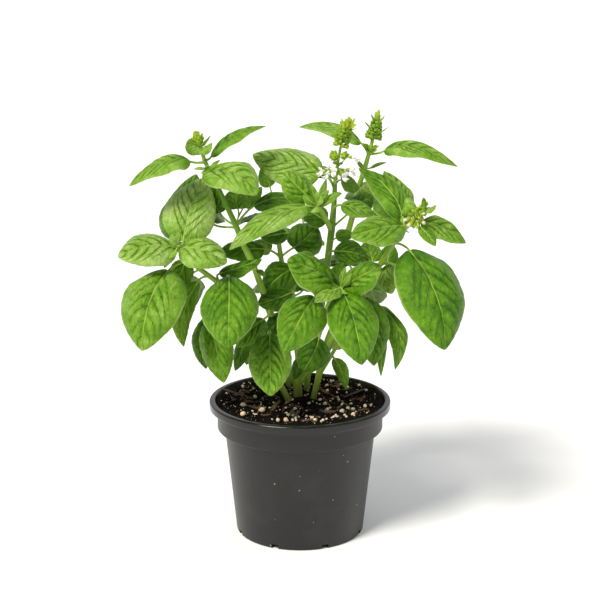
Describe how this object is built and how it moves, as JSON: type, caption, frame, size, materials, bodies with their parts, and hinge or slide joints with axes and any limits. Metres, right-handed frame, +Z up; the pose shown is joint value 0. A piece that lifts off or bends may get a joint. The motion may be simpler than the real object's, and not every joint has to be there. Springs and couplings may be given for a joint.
{
  "type": "potted basil plant",
  "caption": "Bushy sweet basil in flower, with crossed pairs of pointed oval leaves on branching stems, growing in potting mix in a round lipped nursery pot.",
  "frame": {"origin": "middle of the pot's flat underside, on the surface that it stands on", "axes": "+Z up along the pot's axis; -Y towards the viewer of the picture; +X to that viewer's right"},
  "size_m": [0.2955, 0.232, 0.3836],
  "materials": {
    "pot_plastic": "satin",
    "potting_mix": "matte",
    "foliage": "satin",
    "flower_spike": "matte"
  },
  "bodies": {
    "root": {"pot": "pot_plastic", "soil": "potting_mix", "stem_left": "foliage", "stem_main": "foliage", "stem_right": "foliage", "stem_back": "foliage", "stem_rear_left": "foliage", "stem_rear_right": "foliage", "spike_left": "flower_spike", "spike_centre": "flower_spike", "spike_back": "flower_spike", "spike_right": "flower_spike"}
  },
  "joints": []
}
